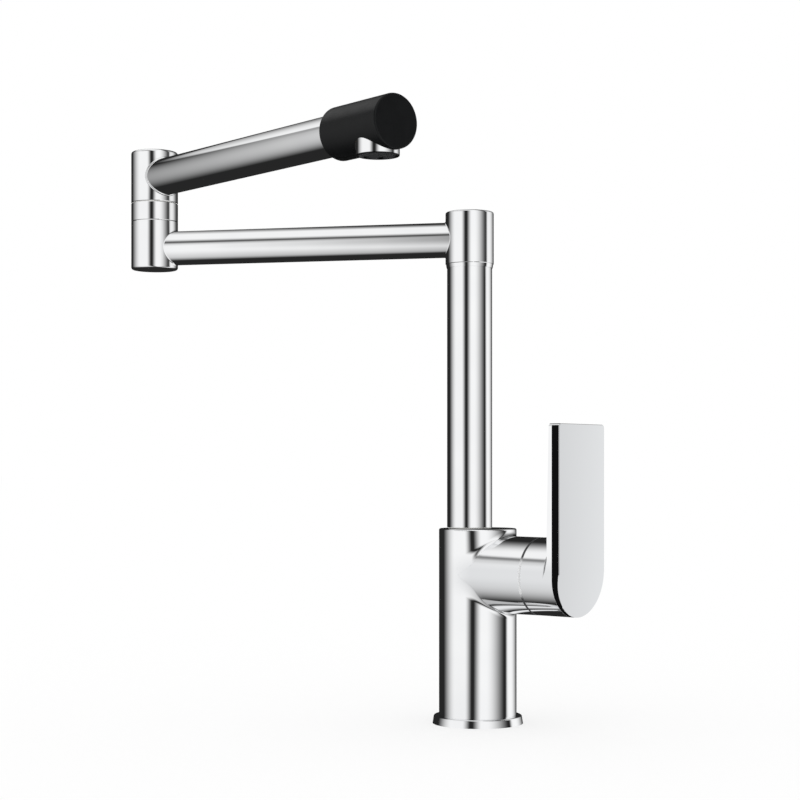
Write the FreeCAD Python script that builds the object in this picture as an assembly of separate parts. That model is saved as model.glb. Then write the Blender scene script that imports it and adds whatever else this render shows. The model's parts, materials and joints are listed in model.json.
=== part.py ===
import FreeCAD, Part
import math
import os

# Folding kitchen faucet: a deck column with a side lever, and a riser that carries a two-link spout.
# Millimetres, +Z up. The origin is the centre of the base flange's underside, and +X is the lever's side.

V = FreeCAD.Vector
UP = V(0, 0, 1)
DOWN = V(0, 0, -1)
ACROSS = V(0, 1, 0)
OUTWARD = V(1, 0, 0)
INWARD = V(-1, 0, 0)

# Clearances: screwed or pressed fits, turning fits, sliding faces, and moving pieces that never touch
static_gap = 0.05
running_gap = 0.05
slip_gap = 0.05
loose_gap = 0.3
cut_margin = 1.0

# Column
body_r = 24.0
body_head = 4.5
body_edge_round = 1.0

# Base flange and its gasket
flange_rim = 4.0
flange_height = 5.0
flange_taper = 0.8
flange_edge_round = 0.8
flange_floor = 2.5
gasket_width = 3.0
gasket_thickness = 1.5
gasket_edge = 1.5

# Inlet block in the column's foot
inlet_block_r = 19.0
inlet_block_height = 16.0
inlet_seal_inset = 4.0
hose_thread_r = 4.5
hose_spacing = 19.0
hose_x = 2.0
stud_thread_r = 3.4
stud_x = -10.5
channel_r = 3.0

# Side branch, and the ball joint between it and the handle
branch_inset = 0.5
branch_root_inset = 0.1
branch_z = 92.5
branch_fillet = 3.0
seam_x = 49.8
pin_setback = 14.0
handle_lip = 0.6
dome_gap = 0.3
dome_hole_r = 14.0
dome_edge = 1.6
dome_skirt_wall = 1.8

# Lever travel, which the slots inside make room for
lever_tilt_deg = 20.0

# Mixing cartridge: radii, then lengths that follow each other inwards from the tilt pin
cartridge_r = 17.5
cartridge_wall = 1.9
neck_r = 14.3
neck_length = 8.0
shoulder_ahead = 1.0
rotor_r = 12.0
rotor_shoulder = 5.5
rotor_flange_thickness = 3.0
carrier_thickness = 5.0
carrier_r = 11.0
moving_disc_r = 10.8
moving_disc_thickness = 3.5
mixing_recess_r = 6.5
mixing_recess_depth = 1.8
fixed_disc_thickness = 4.0
base_plug_thickness = 2.0
base_plate_thickness = 2.0
port_r = 3.0
port_drop = 4.5
outlet_rise = 10.0
port_seal_width = 1.5
port_seal_thickness = 1.5

# Cartridge nut
nut_step = 1.5
nut_length = 6.5
nut_notch_count = 4
nut_notch_width = 4.0
nut_notch_depth = 2.0

# Lever spindle and its pin
spindle_width = 7.8
spindle_height = 8.0
spindle_reach = 34.0
spindle_boss_r = 5.0
slot_gap = 0.2
tail_r = 1.5
ball_r = 2.4
ball_arm = 11.2
pin_r = 1.5
pin_end_inset = 0.5

# Handle
handle_depth = 28.2
paddle_rise = 91.2
paddle_thickness_root = 8.9
paddle_thickness_tip = 7.4
paddle_corner_round = 2.0
paddle_edge_round = 0.5
crease_rise = 2.7
crease_step = 0.2
face_lean_deg = 5.5
hub_blend = 3.0
socket_floor_gap = 0.6
handle_screw_r = 2.5
plug_length = 3.0
plug_gap = 5.45

# Dark strip let into the handle's edge
inlay_depth = 1.0
inlay_setback = 3.6
inlay_lip = 0.3
inlay_top_drop = 1.0

# Grub screws that hold the riser and the head
lock_screw_r = 2.5
lock_tip_r = 1.5
lock_tip_gap = 0.2
lock_groove_depth = 1.8
hex_socket_r = 1.45
hex_side_count = 6
hex_socket_depth = 2.0
screw_sink = 0.8

# O-rings
o_ring_section = 2.4
groove_side_room = 0.3

# Riser
riser_offset = 6.4
riser_r = 14.0
riser_wall = 2.0
slide_ring_thickness = 0.5
slide_ring_inset = 0.4
spigot_bore_r = 6.5
spigot_grip = 18.0
socket_depth = 27.5
upper_seal_depth = 4.7
lock_depth = 9.9
lower_seal_height = 3.0
waist_height = 7.0
waist_depth = 2.3
cross_hole_r = 2.8

# Polished fillet where an arm's tube leaves its fitting
joint_fillet = 1.0

# Collar at the riser's top
collar_rim = 1.0
collar_below = 15.6
collar_above = 16.8
collar_taper_height = 2.3
collar_taper_lip = 0.25
collar_edge_round = 1.0
collar_seat = 3.7
collar_bore_step = 2.0
collar_roof = 4.0
collar_arm_stop = 5.0

# Lower arm
lower_arm_z = 299.9
lower_arm_length = 207.6
lower_arm_angle = 207.4
lower_arm_r = 10.9
lower_arm_wall = 1.85

# Knuckles and the swivel between them
knuckle_r = 15.0
knuckle_edge_round = 1.5
knuckle_floor = 4.0
knuckle_chamber_r = 11.0
knuckle_arm_stop = 6.5
lower_knuckle_below = 13.6
lower_knuckle_above = 17.3
seam_chamfer = 0.3
ring_height = 11.7
ring_thread_r = 13.0
ring_skirt = 5.3
ring_seal_inset = 3.2
pivot_r = 8.95
pivot_bore_r = 5.5
pivot_flange_thickness = 3.0
pivot_washer_thickness = 0.6
pivot_grip = 5.6
knuckle_washer_thickness = 0.4
knuckle_washer_inset = 0.6
upper_knuckle_below = 15.7
upper_knuckle_above = 17.3

# Upper arm
upper_arm_angle = -10.4
upper_arm_r = 11.75
upper_arm_wall = 1.85

# Spray head
head_start = 198.0
head_length = 49.9
head_r = 15.15
head_wall = 4.0
head_edge_round = 1.0
journal_length = 18.0
journal_bore_r = 6.0
journal_grip = 20.0
head_lock_inset = 6.0
head_seal_inset = 13.0
nozzle_back = 15.9
nozzle_r = 12.0
nozzle_wall = 1.3
nozzle_height = 15.0
nozzle_drop = 17.0
mouth_gap = 0.6
mouth_height = 9.5
nozzle_edge_round = 0.5
aerator_recess = 1.2
aerator_height = 6.5
aerator_dish = 0.8
aerator_rim = 1.5
aerator_hub_r = 2.0
aerator_washer_height = 2.0
aerator_washer_width = 2.6

# Places that follow from the sizes
branch_r = body_r - branch_inset
branch_root_r = body_r - branch_root_inset
body_top_z = branch_z + branch_r + body_head
flange_r = body_r + flange_rim
pin_x = seam_x - pin_setback
cavity_r = math.hypot(pin_setback, branch_r - handle_lip)
dome_r = cavity_r - dome_gap
branch_end_x = pin_x + math.sqrt(dome_r ** 2 - branch_r ** 2)
handle_face_x = seam_x + handle_depth
paddle_back_x = handle_face_x - paddle_thickness_root
paddle_top_z = branch_z + paddle_rise
crease_z = branch_z + crease_rise
inlay_back_x = paddle_back_x + inlay_setback
inlay_top_z = paddle_top_z - inlay_top_drop
lever_tilt = math.radians(lever_tilt_deg)

rotor_back_x = pin_x - rotor_shoulder - slip_gap - rotor_flange_thickness
carrier_front_x = rotor_back_x - slip_gap
carrier_back_x = carrier_front_x - carrier_thickness
moving_disc_back_x = carrier_back_x - moving_disc_thickness
fixed_disc_front_x = moving_disc_back_x - slip_gap
fixed_disc_back_x = fixed_disc_front_x - fixed_disc_thickness
base_plug_back_x = fixed_disc_back_x - base_plug_thickness
cartridge_floor_x = base_plug_back_x - base_plate_thickness
shoulder_x = pin_x + shoulder_ahead
neck_end_x = shoulder_x + neck_length
cartridge_bore_r = cartridge_r - cartridge_wall
nut_r = cartridge_r + nut_step
spindle_tip_x = pin_x + spindle_reach
port_y = hose_spacing / 2
inlet_port_z = branch_z - port_drop
outlet_port_z = branch_z + outlet_rise

riser_axis = V(-riser_offset, 0, 0)
riser_bore_r = riser_r - riser_wall
spigot_r = riser_bore_r - static_gap
socket_r = spigot_r + running_gap
socket_floor_z = body_top_z - socket_depth
riser_bottom_z = body_top_z + 2 * slip_gap + slide_ring_thickness
lock_z = body_top_z - lock_depth
collar_r = riser_r + collar_rim
collar_bore_r = riser_bore_r - collar_bore_step
collar_bottom_z = lower_arm_z - collar_below
collar_top_z = lower_arm_z + collar_above
riser_top_z = collar_bottom_z + collar_seat

lower_dir = V(math.cos(math.radians(lower_arm_angle)), math.sin(math.radians(lower_arm_angle)), 0)
upper_dir = V(math.cos(math.radians(upper_arm_angle)), math.sin(math.radians(upper_arm_angle)), 0)
hinge_axis = riser_axis + lower_dir * lower_arm_length
lower_knuckle_bottom_z = lower_arm_z - lower_knuckle_below
ring_bottom_z = lower_arm_z + lower_knuckle_above
ring_top_z = ring_bottom_z + ring_height
skirt_bottom_z = ring_bottom_z - ring_skirt
pivot_flange_top_z = skirt_bottom_z - 2 * slip_gap - pivot_washer_thickness
pivot_flange_r = knuckle_chamber_r - loose_gap
ring_bore_r = pivot_r + running_gap
upper_knuckle_bottom_z = ring_top_z + 2 * slip_gap + knuckle_washer_thickness
upper_arm_z = upper_knuckle_bottom_z + upper_knuckle_below
upper_knuckle_top_z = upper_arm_z + upper_knuckle_above
pivot_top_z = upper_knuckle_bottom_z + pivot_grip

head_end = head_start + head_length
journal_r = upper_arm_r - upper_arm_wall - static_gap
journal_hole_r = journal_r + running_gap
journal_end = head_start + journal_length
head_lock_s = head_start + head_lock_inset
head_seal_s = head_start + head_seal_inset
nozzle_s = head_end - nozzle_back
nozzle_bottom_z = upper_arm_z - nozzle_drop
nozzle_top_z = nozzle_bottom_z + nozzle_height
mouth_top_z = nozzle_bottom_z + mouth_height
nozzle_bore_r = nozzle_r - nozzle_wall
aerator_bottom_z = nozzle_bottom_z + aerator_recess
aerator_top_z = aerator_bottom_z + aerator_height
aerator_r = nozzle_bore_r - static_gap


def on_branch(x):
    """Point on the branch's axis."""
    return V(x, 0, branch_z)


def on_axis(axis, z):
    """Point at a height on a vertical axis."""
    return V(axis.x, axis.y, z)


def on_upper_arm(distance):
    """Point on the upper arm's axis, measured from the hinge."""
    return on_axis(hinge_axis, upper_arm_z) + upper_dir * distance


def outline(points):
    """Closed wire in the XZ plane through (x, z) points. A third value rounds that corner."""
    corners = [V(point[0], 0, point[1]) for point in points]
    radii = [point[2] if len(point) > 2 else 0 for point in points]
    starts, ends, arcs = [], [], []
    for i, corner in enumerate(corners):
        back = (corners[i - 1] - corner).normalize()
        ahead = (corners[(i + 1) % len(corners)] - corner).normalize()
        half_angle = back.getAngle(ahead) / 2
        reach = radii[i] / math.tan(half_angle)
        start = corner + back * reach
        end = corner + ahead * reach
        starts.append(start)
        ends.append(end)
        if radii[i] > 0:
            bisector = (back + ahead).normalize()
            depth = radii[i] / math.sin(half_angle) - radii[i]
            arcs.append(Part.Arc(start, corner + bisector * depth, end).toShape())
        else:
            arcs.append(None)
    edges = []
    for i, arc in enumerate(arcs):
        if arc:
            edges.append(arc)
        following = starts[(i + 1) % len(starts)]
        if ends[i].distanceToPoint(following) > Part.Precision.confusion():
            edges.append(Part.makeLine(ends[i], following))
    return Part.Wire(edges)


def turned(points, base=V(0, 0, 0), axis=UP):
    """Solid of revolution of (radius, height) points about an axis through base."""
    solid = Part.Face(outline(points)).revolve(V(0, 0, 0), UP, 360)
    solid.Placement = FreeCAD.Placement(base, FreeCAD.Rotation(UP, axis))
    return solid


def rod(radius, start, end):
    """Cylinder between two points."""
    reach = end - start
    return Part.makeCylinder(radius, reach.Length, start, reach)


def pipe(outer_r, inner_r, start, end):
    """Hollow cylinder between two points."""
    return rod(outer_r, start, end).cut(rod(inner_r, start, end))


def block(x_range, y_range, z_range):
    """Box between pairs of coordinates."""
    size = V(x_range[1] - x_range[0], y_range[1] - y_range[0], z_range[1] - z_range[0])
    return Part.makeBox(size.x, size.y, size.z, V(x_range[0], y_range[0], z_range[0]))


def cut_all(solid, cutters):
    """The solid less every cutter."""
    return solid.cut(cutters)


def o_ring(bore_r, centre, axis):
    """O-ring that fills its groove up to the bore."""
    middle_r = bore_r - running_gap - o_ring_section / 2
    return Part.makeTorus(middle_r, o_ring_section / 2, centre, axis)


def o_ring_groove(bore_r, centre, axis):
    """Ring-shaped cutter for an O-ring's seat."""
    floor_r = bore_r - running_gap - o_ring_section - static_gap
    half_width = axis * (o_ring_section / 2 + groove_side_room)
    return pipe(bore_r + cut_margin, floor_r, centre - half_width, centre + half_width)


def lock_groove(shaft_r, centre, axis):
    """Ring-shaped cutter that a lock screw's tip runs in."""
    half_width = axis * (lock_tip_r + lock_tip_gap)
    floor_r = shaft_r - lock_groove_depth
    return pipe(shaft_r + cut_margin, floor_r, centre - half_width, centre + half_width)


def hex_socket(centre, axis):
    """Hexagonal cutter that starts at centre and goes in along the axis."""
    turns = [2 * math.pi * i / hex_side_count for i in range(hex_side_count)]
    corners = [V(hex_socket_r * math.cos(turn), hex_socket_r * math.sin(turn), 0) for turn in turns]
    prism = Part.Face(Part.makePolygon(corners + corners[:1])).extrude(UP * hex_socket_depth)
    prism.Placement = FreeCAD.Placement(centre, FreeCAD.Rotation(UP, axis))
    return prism


def lock_screw(shaft_r, wall_r, skin_r, centre, outwards):
    """Grub screw in a wall: its tip stands in the groove of the shaft, its head lies under the skin."""
    tip_at = centre + outwards * (shaft_r - lock_groove_depth + loose_gap)
    step_at = centre + outwards * (wall_r + static_gap)
    head_at = centre + outwards * (skin_r - screw_sink)
    screw = rod(lock_tip_r, tip_at, step_at).fuse(rod(lock_screw_r, step_at, head_at))
    return screw.removeSplitter().cut(hex_socket(head_at, outwards * -1))


def lock_screw_hole(skin_r, centre, outwards):
    """Cutter for a lock screw's thread."""
    return rod(lock_screw_r + static_gap, centre, centre + outwards * (skin_r + cut_margin))


def with_arm_joint(fitting, fitting_r, arm_r, centre, direction):
    """Round fitting with a fillet round the place where an arm's tube leaves it."""
    stub = rod(arm_r, centre, centre + direction * (fitting_r + joint_fillet + cut_margin))
    joined = fitting.fuse(stub).removeSplitter()
    joint_edges = [edge for edge in joined.Edges if isinstance(edge.Curve, Part.BSplineCurve)]
    return joined.makeFillet(joint_fillet, joint_edges)


def arm_socket(fitting_r, arm_r, centre, direction, stop):
    """Cutter for the seat of an arm's tube in its fitting, from the stop outwards."""
    outside = centre + direction * (fitting_r + joint_fillet + 2 * cut_margin)
    return rod(arm_r + static_gap, centre + direction * stop, outside)


def base_flange():
    body_seat_r = body_r + static_gap
    hole_r = inlet_block_r + static_gap
    ring = turned([
        (hole_r, 0),
        (flange_r, 0),
        (flange_r - flange_taper, flange_height, flange_edge_round),
        (body_seat_r, flange_height),
        (body_seat_r, flange_floor),
        (hole_r, flange_floor),
    ])
    groove_r = flange_r - gasket_edge
    groove = pipe(groove_r, groove_r - gasket_width, V(0, 0, 0), UP * gasket_thickness)
    return ring.cut(groove)


def base_gasket():
    outer_r = flange_r - gasket_edge - static_gap
    inner_r = flange_r - gasket_edge - gasket_width + static_gap
    return pipe(outer_r, inner_r, V(0, 0, 0), UP * (gasket_thickness - static_gap))


def riser_lock_centre():
    return on_axis(riser_axis, lock_z)


def tap_body():
    column = turned([
        (0, flange_floor),
        (body_r, flange_floor),
        (body_r, body_top_z, body_edge_round),
        (0, body_top_z),
    ])
    branch = Part.makeCone(branch_root_r, branch_r, branch_end_x, on_branch(0), OUTWARD)
    body = column.fuse(branch).removeSplitter()
    joint_edges = [edge for edge in body.Edges if isinstance(edge.Curve, Part.BSplineCurve)]
    fillet_room = body_head - body_edge_round
    body = body.makeFillet(min(branch_fillet, fillet_room), joint_edges)

    skin_reach = body_r - riser_offset
    cutters = [
        rod(inlet_block_r + static_gap, UP * flange_floor, UP * inlet_block_height),
        rod(cartridge_r + static_gap, on_branch(cartridge_floor_x), on_branch(shoulder_x)),
        rod(nut_r + static_gap, on_branch(shoulder_x), on_branch(branch_end_x + cut_margin)),
        rod(socket_r, on_axis(riser_axis, socket_floor_z), on_axis(riser_axis, body_top_z + cut_margin)),
        rod(port_r, V(cartridge_floor_x, 0, outlet_port_z), V(-riser_offset, 0, outlet_port_z)),
        lock_screw_hole(skin_reach, riser_lock_centre(), INWARD),
    ]
    for side in (-1, 1):
        turning_point = V(hose_x, side * port_y, inlet_port_z)
        cutters.append(rod(channel_r, V(hose_x, side * port_y, inlet_block_height), turning_point))
        cutters.append(rod(port_r, turning_point, V(cartridge_floor_x, side * port_y, inlet_port_z)))
    return cut_all(body, cutters)


def inlet_seal_centre():
    return UP * (inlet_block_height - inlet_seal_inset)


def inlet_block():
    rise = UP * inlet_block_height
    cutters = [
        o_ring_groove(inlet_block_r + static_gap, inlet_seal_centre(), UP),
        rod(stud_thread_r, V(stud_x, 0, 0), V(stud_x, 0, 0) + rise),
    ]
    for side in (-1, 1):
        mouth = V(hose_x, side * port_y, 0)
        cutters.append(rod(hose_thread_r, mouth, mouth + rise))
    return cut_all(rod(inlet_block_r, V(0, 0, 0), rise), cutters)


def inlet_seal():
    return o_ring(inlet_block_r + static_gap, inlet_seal_centre(), UP)


def riser_retaining_screw():
    skin_reach = body_r - riser_offset
    return lock_screw(spigot_r, socket_r, skin_reach, riser_lock_centre(), INWARD)


def port_places(x):
    """Centres of the cold, hot and mixed ports on a plane across the cartridge."""
    return [
        V(x, -port_y, inlet_port_z),
        V(x, port_y, inlet_port_z),
        V(x, 0, outlet_port_z),
    ]


def port_holes(start_x, end_x, radius):
    """Cutters for the three ports between two planes."""
    return [rod(radius, place, place + OUTWARD * (end_x - start_x)) for place in port_places(start_x)]


def cartridge_housing():
    return turned([
        (cartridge_bore_r, base_plug_back_x),
        (cartridge_r, base_plug_back_x),
        (cartridge_r, shoulder_x),
        (neck_r, shoulder_x),
        (neck_r, neck_end_x),
        (rotor_r + running_gap, neck_end_x),
        (rotor_r + running_gap, pin_x - rotor_shoulder),
        (cartridge_bore_r, pin_x - rotor_shoulder),
    ], on_branch(0), OUTWARD)


def cartridge_base():
    plug = rod(cartridge_bore_r - static_gap, on_branch(base_plug_back_x), on_branch(fixed_disc_back_x))
    plate = rod(cartridge_r, on_branch(cartridge_floor_x), on_branch(base_plug_back_x))
    cutters = port_holes(cartridge_floor_x, fixed_disc_back_x, port_r)
    seat_floor_x = cartridge_floor_x + port_seal_thickness
    cutters += port_holes(cartridge_floor_x, seat_floor_x, port_r + port_seal_width)
    return cut_all(plate.fuse(plug).removeSplitter(), cutters)


def port_seals():
    outer_r = port_r + port_seal_width - static_gap
    depth = OUTWARD * (port_seal_thickness - static_gap)
    rings = [pipe(outer_r, port_r, place, place + depth) for place in port_places(cartridge_floor_x)]
    return Part.makeCompound(rings)


def fixed_ceramic_disc():
    disc = rod(cartridge_bore_r - static_gap, on_branch(fixed_disc_back_x), on_branch(fixed_disc_front_x))
    return cut_all(disc, port_holes(fixed_disc_back_x, fixed_disc_front_x, port_r))


def moving_ceramic_disc():
    disc = rod(moving_disc_r, on_branch(moving_disc_back_x), on_branch(carrier_back_x))
    recess_end = moving_disc_back_x + mixing_recess_depth
    return disc.cut(rod(mixing_recess_r, on_branch(moving_disc_back_x), on_branch(recess_end)))


def disc_carrier():
    carrier = rod(carrier_r, on_branch(carrier_back_x), on_branch(carrier_front_x))
    return carrier.cut(rod(ball_r + slot_gap, on_branch(carrier_back_x), on_branch(carrier_front_x)))


def cartridge_nut():
    back_x = shoulder_x + static_gap
    front_x = back_x + nut_length
    nut = pipe(nut_r, neck_r + loose_gap, on_branch(back_x), on_branch(front_x))
    notch = block(
        (front_x - nut_notch_depth, front_x + cut_margin),
        (-nut_notch_width / 2, nut_notch_width / 2),
        (branch_z, branch_z + nut_r + cut_margin),
    )
    notches = []
    for i in range(nut_notch_count):
        turned_notch = notch.copy()
        turned_notch.rotate(on_branch(0), OUTWARD, 360 * i / nut_notch_count)
        notches.append(turned_notch)
    return cut_all(nut, notches)


def bonnet_dome():
    skirt_back_x = shoulder_x + nut_length + 2 * static_gap
    skirt_inner_r = nut_r - dome_skirt_wall
    rim_x = pin_x + math.sqrt(dome_r ** 2 - dome_hole_r ** 2)
    blank = turned([
        (skirt_inner_r, skirt_back_x),
        (nut_r, skirt_back_x),
        (nut_r, branch_end_x),
        (branch_r, branch_end_x),
        (branch_r, rim_x),
        (dome_hole_r, rim_x),
        (dome_hole_r, rim_x - dome_edge),
        (skirt_inner_r, branch_end_x),
    ], on_branch(0), OUTWARD)
    return blank.common(Part.makeSphere(dome_r, on_branch(pin_x)))


def cartridge_rotor():
    front_x = pin_x - rotor_shoulder - slip_gap
    rotor = rod(rotor_r, on_branch(rotor_back_x), on_branch(neck_end_x))
    rim_r = cartridge_bore_r - loose_gap
    rotor = rotor.fuse(rod(rim_r, on_branch(rotor_back_x), on_branch(front_x))).removeSplitter()

    boss_room = spindle_boss_r + slot_gap
    half_width = spindle_width / 2 + slot_gap
    stem_half = spindle_height / 2 / math.cos(lever_tilt)
    stem_drop = (neck_end_x - pin_x) * math.tan(lever_tilt) + stem_half + slot_gap
    tail_room = ball_r + slot_gap
    tail_lift = ball_arm * math.sin(lever_tilt) + tail_room
    stem_slot = block(
        (pin_x - boss_room, neck_end_x + cut_margin),
        (-half_width, half_width),
        (branch_z - stem_drop, branch_z + boss_room),
    )
    tail_slot = block(
        (rotor_back_x - cut_margin, pin_x),
        (-tail_room, tail_room),
        (branch_z - tail_room, branch_z + tail_lift),
    )
    return cut_all(rotor, [stem_slot, tail_slot, spindle_pin_bore(pin_r + static_gap)])


def spindle_pin_bore(radius):
    """Rod on the tilt axis, as long as the rotor is wide."""
    return rod(radius, on_branch(pin_x) - ACROSS * rotor_r, on_branch(pin_x) + ACROSS * rotor_r)


def spindle_pin():
    reach = ACROSS * (rotor_r - pin_end_inset)
    return rod(pin_r, on_branch(pin_x) - reach, on_branch(pin_x) + reach)


def lever_spindle():
    half_width = spindle_width / 2
    half_height = spindle_height / 2
    pin_centre = on_branch(pin_x)
    boss = rod(spindle_boss_r, pin_centre - ACROSS * half_width, pin_centre + ACROSS * half_width)
    stem = block(
        (pin_x, spindle_tip_x),
        (-half_width, half_width),
        (branch_z - half_height, branch_z + half_height),
    )
    ball_centre = on_branch(pin_x - ball_arm)
    tail = rod(tail_r, ball_centre, pin_centre)
    spindle = boss.fuse([stem, tail, Part.makeSphere(ball_r, ball_centre)]).removeSplitter()
    return spindle.cut(spindle_pin_bore(pin_r + running_gap))


def handle_screw_x():
    """Where the grub screw meets the spindle, midway along the handle's socket."""
    return (pin_x + cavity_r + spindle_tip_x) / 2


def paddle_front(half_width, top_z, corner_round):
    """Front view of the paddle in the YZ plane: half round below, square above."""
    bottom_z = branch_z - half_width
    front = outline([
        (-half_width, bottom_z, half_width),
        (half_width, bottom_z, half_width),
        (half_width, top_z, corner_round),
        (-half_width, top_z, corner_round),
    ])
    front.rotate(V(0, 0, 0), UP, 90)
    return Part.Face(front)


def across_handle(points):
    """Prism of an (x, z) outline, wider than the handle."""
    half_width = branch_r + cut_margin
    side = outline(points)
    side.translate(ACROSS * -half_width)
    return Part.Face(side).extrude(ACROSS * 2 * half_width)


def paddle():
    """Flat lever plate, thinner towards its tip."""
    plate = paddle_front(branch_r, paddle_top_z, paddle_corner_round).extrude(OUTWARD * handle_face_x)
    bottom_z = branch_z - branch_r
    plate = plate.common(across_handle([
        (handle_face_x, bottom_z),
        (handle_face_x, paddle_top_z),
        (handle_face_x - paddle_thickness_tip, paddle_top_z),
        (paddle_back_x, branch_z + branch_r),
        (paddle_back_x, bottom_z),
    ]))
    front_face = max(plate.Faces, key=lambda face: face.CenterOfMass.x)
    return plate.makeFillet(paddle_edge_round, front_face.Edges)


def ahead_of_lower_face(setback):
    """Cutter for what lies ahead of the leaning face below the crease, or of a plane set back from it."""
    bottom_z = branch_z - branch_r - cut_margin
    start_x = handle_face_x - setback - crease_step
    lean = (crease_z - bottom_z) * math.tan(math.radians(face_lean_deg))
    return across_handle([
        (start_x, crease_z),
        (start_x - lean, bottom_z),
        (handle_face_x + cut_margin, bottom_z),
        (handle_face_x + cut_margin, crease_z),
    ])


def edge_band(gap):
    """Band down both sides of the paddle and round its bottom, a gap smaller than the inlay's groove."""
    floor_r = branch_r - inlay_depth + gap
    back_x = inlay_back_x + gap
    lip = inlay_lip + gap
    skin = paddle_front(branch_r + cut_margin, inlay_top_z - gap, 0)
    core = paddle_front(floor_r, paddle_top_z, 0)
    band = skin.cut(core).extrude(OUTWARD * (handle_face_x - lip - back_x))
    band.translate(OUTWARD * back_x)
    return band.cut(ahead_of_lower_face(lip))


def hub_blend_ring():
    """Concave blend from the hub's top to the paddle's back, held within the paddle's width."""
    blend_r = branch_r + hub_blend
    start_x = paddle_back_x - hub_blend
    ring = pipe(blend_r, branch_r - hub_blend, on_branch(start_x), on_branch(paddle_back_x))
    hollow = Part.makeTorus(blend_r, hub_blend, on_branch(start_x), OUTWARD)
    width = block(
        (start_x, paddle_back_x),
        (-branch_r, branch_r),
        (branch_z, branch_z + blend_r),
    )
    return ring.cut(hollow).common(width)


def handle():
    hub = rod(branch_r, on_branch(seam_x), on_branch(paddle_back_x))
    casting = paddle().fuse([hub, hub_blend_ring()]).removeSplitter()
    socket_half_width = spindle_width / 2 + static_gap
    socket_half_height = spindle_height / 2 + static_gap
    screw_top = V(handle_screw_x(), 0, branch_z)
    cutters = [
        Part.makeSphere(cavity_r, on_branch(pin_x)),
        block(
            (pin_x, spindle_tip_x + socket_floor_gap),
            (-socket_half_width, socket_half_width),
            (branch_z - socket_half_height, branch_z + socket_half_height),
        ),
        rod(handle_screw_r + static_gap, screw_top, screw_top + DOWN * (branch_r + cut_margin)),
        ahead_of_lower_face(0),
        edge_band(0),
    ]
    return cut_all(casting, cutters)


def handle_inlay():
    return edge_band(static_gap).common(paddle())


def handle_grub_screw():
    top = V(handle_screw_x(), 0, branch_z - spindle_height / 2 - static_gap)
    bottom = V(handle_screw_x(), 0, branch_z - branch_r + plug_length + plug_gap)
    return rod(handle_screw_r, bottom, top).cut(hex_socket(bottom, UP))


def grub_screw_plug():
    """Plug whose outer end follows the hub's round."""
    mouth = V(handle_screw_x(), 0, branch_z - branch_r)
    plug = rod(handle_screw_r, mouth, mouth + UP * plug_length)
    return plug.common(rod(branch_r, on_branch(seam_x), on_branch(paddle_back_x)))


def riser_seal_centres():
    return [
        on_axis(riser_axis, body_top_z - upper_seal_depth),
        on_axis(riser_axis, socket_floor_z + lower_seal_height),
    ]


def riser_tube():
    bottom = on_axis(riser_axis, riser_bottom_z)
    return pipe(riser_r, riser_bore_r, bottom, on_axis(riser_axis, riser_top_z))


def riser_spigot():
    bottom = on_axis(riser_axis, socket_floor_z + slip_gap)
    top = on_axis(riser_axis, riser_bottom_z + spigot_grip)
    waist = on_axis(riser_axis, outlet_port_z)
    half_waist = UP * waist_height / 2
    cutters = [
        rod(spigot_bore_r, bottom, top),
        pipe(spigot_r + cut_margin, spigot_r - waist_depth, waist - half_waist, waist + half_waist),
        rod(cross_hole_r, waist - OUTWARD * spigot_r, waist + OUTWARD * spigot_r),
        rod(cross_hole_r, waist - ACROSS * spigot_r, waist + ACROSS * spigot_r),
        lock_groove(spigot_r, riser_lock_centre(), UP),
    ]
    cutters += [o_ring_groove(socket_r, centre, UP) for centre in riser_seal_centres()]
    return cut_all(rod(spigot_r, bottom, top), cutters)


def riser_o_rings():
    return Part.makeCompound([o_ring(socket_r, centre, UP) for centre in riser_seal_centres()])


def riser_slide_ring():
    bottom = on_axis(riser_axis, body_top_z + slip_gap)
    outer_r = riser_r - slide_ring_inset
    return pipe(outer_r, spigot_r + static_gap, bottom, bottom + UP * slide_ring_thickness)


def top_collar():
    seat_r = riser_r + static_gap
    taper_bottom_z = collar_bottom_z - collar_taper_height
    collar = turned([
        (0, taper_bottom_z),
        (seat_r + collar_taper_lip, taper_bottom_z),
        (collar_r - seam_chamfer, collar_bottom_z),
        (collar_r, collar_bottom_z + seam_chamfer),
        (collar_r, collar_top_z, collar_edge_round),
        (0, collar_top_z),
    ], riser_axis)
    bore = turned([
        (0, taper_bottom_z),
        (seat_r, taper_bottom_z),
        (seat_r, riser_top_z),
        (collar_bore_r, riser_top_z),
        (collar_bore_r, collar_top_z - collar_roof),
        (0, collar_top_z - collar_roof),
    ], riser_axis)
    centre = on_axis(riser_axis, lower_arm_z)
    collar = with_arm_joint(collar, collar_r, lower_arm_r, centre, lower_dir)
    socket = arm_socket(collar_r, lower_arm_r, centre, lower_dir, collar_arm_stop)
    return cut_all(collar, [bore, socket])


def lower_arm():
    """Tube between collar and lower knuckle, its ends shaped round their bores."""
    collar_centre = on_axis(riser_axis, lower_arm_z)
    knuckle_centre = on_axis(hinge_axis, lower_arm_z)
    start = collar_centre + lower_dir * collar_arm_stop
    end = knuckle_centre - lower_dir * knuckle_arm_stop
    tube = pipe(lower_arm_r, lower_arm_r - lower_arm_wall, start, end)
    reach = UP * (lower_arm_r + cut_margin)
    collar_bore = rod(collar_bore_r, collar_centre - reach, collar_centre + reach)
    chamber = rod(knuckle_chamber_r, knuckle_centre - reach, knuckle_centre + reach)
    return cut_all(tube, [collar_bore, chamber])


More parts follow.
